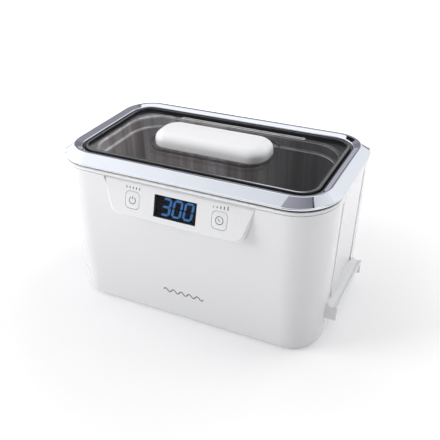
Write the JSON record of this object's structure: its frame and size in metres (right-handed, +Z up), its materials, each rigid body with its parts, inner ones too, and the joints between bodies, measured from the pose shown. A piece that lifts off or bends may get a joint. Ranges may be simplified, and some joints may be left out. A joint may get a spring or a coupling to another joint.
{
  "type": "ultrasonic cleaner",
  "caption": "Table-top ultrasonic cleaner: rounded white box with a chromed rim, lift-off smoked lid, steel tank, tilted display visor, push buttons and end grips.",
  "frame": {"origin": "on the floor, under the middle of the overall box", "axes": "+X along the long side, towards the right grip; -Y is the front, with the control panel; +Z up"},
  "size_m": [0.21, 0.1266, 0.1238],
  "materials": {
    "body": "glossy white moulded",
    "chrome": "polished plating",
    "steel_tank": "satin, drawn",
    "seal": "satin black ring",
    "smoke": "clear smoke-tinted sheet",
    "handle": "glossy white moulded",
    "panel": "glossy white moulded",
    "window": "glossy black tinted",
    "digits": "lit blue",
    "module": "matt black",
    "rubber": "matt",
    "screw": "zinc plated",
    "base": "fine texture white",
    "inlet": "black moulded",
    "pin": "plated pin",
    "board": "green laminate",
    "ferrite": "sintered",
    "winding": "taped winding",
    "capacitor": "sleeved",
    "alloy": "machined",
    "package": "moulded package",
    "fuse": "ceramic tube",
    "piezo": "silvered ceramic",
    "brass_tab": "sheet",
    "dark_steel": "blackened",
    "silicone": "grey silicone",
    "lead_red": "insulated wire",
    "lead_brown": "insulated wire",
    "ribbon": "insulated wire"
  },
  "bodies": {
    "cleaner": {"main_housing": "body", "base_plate": "base", "rubber_feet": "rubber", "base_screws": "screw", "chrome_rim": "chrome", "rim_screws": "screw", "tank": "steel_tank", "tank_gasket": "silicone", "lid_seal": "seal", "control_panel": "panel", "display_window": "window", "led_display": "module", "led_digits": "digits", "control_board": "board", "tact_switches": "package", "panel_screws": "screw", "right_grip": "body", "left_grip": "body", "power_inlet": "inlet", "inlet_pins": "pin", "inlet_screws": "screw", "driver_board": "board", "board_screws": "screw", "transformer_core": "ferrite", "transformer_winding": "winding", "filter_capacitors": "capacitor", "power_heatsink": "alloy", "power_transistors": "package", "mains_fuse": "fuse", "front_mass": "alloy", "piezo_rings": "piezo", "electrode_tabs": "brass_tab", "back_mass": "dark_steel", "transducer_bolt": "dark_steel", "transducer_leads": "lead_red", "mains_leads": "lead_brown", "panel_cable": "ribbon"},
    "lid": {"lid_panel": "smoke", "lid_handle": "handle", "lid_screws": "screw"},
    "power_key": {"power_button": "panel"},
    "timer_key": {"timer_button": "panel"}
  },
  "joints": [
    {"name": "lid_lift", "type": "slide", "parent": "cleaner", "child": "lid", "axis": [0, 0, 1], "range_m": [0, 0.06]},
    {"name": "power_press", "type": "slide", "parent": "cleaner", "child": "power_key", "axis": [0, 0.9613, -0.2756], "range_m": [0, 0.0006], "stiffness_N_per_m": 1500, "springref_m": -0.0003},
    {"name": "timer_press", "type": "slide", "parent": "cleaner", "child": "timer_key", "axis": [0, 0.9613, -0.2756], "range_m": [0, 0.0006], "stiffness_N_per_m": 1500, "springref_m": -0.0003}
  ]
}
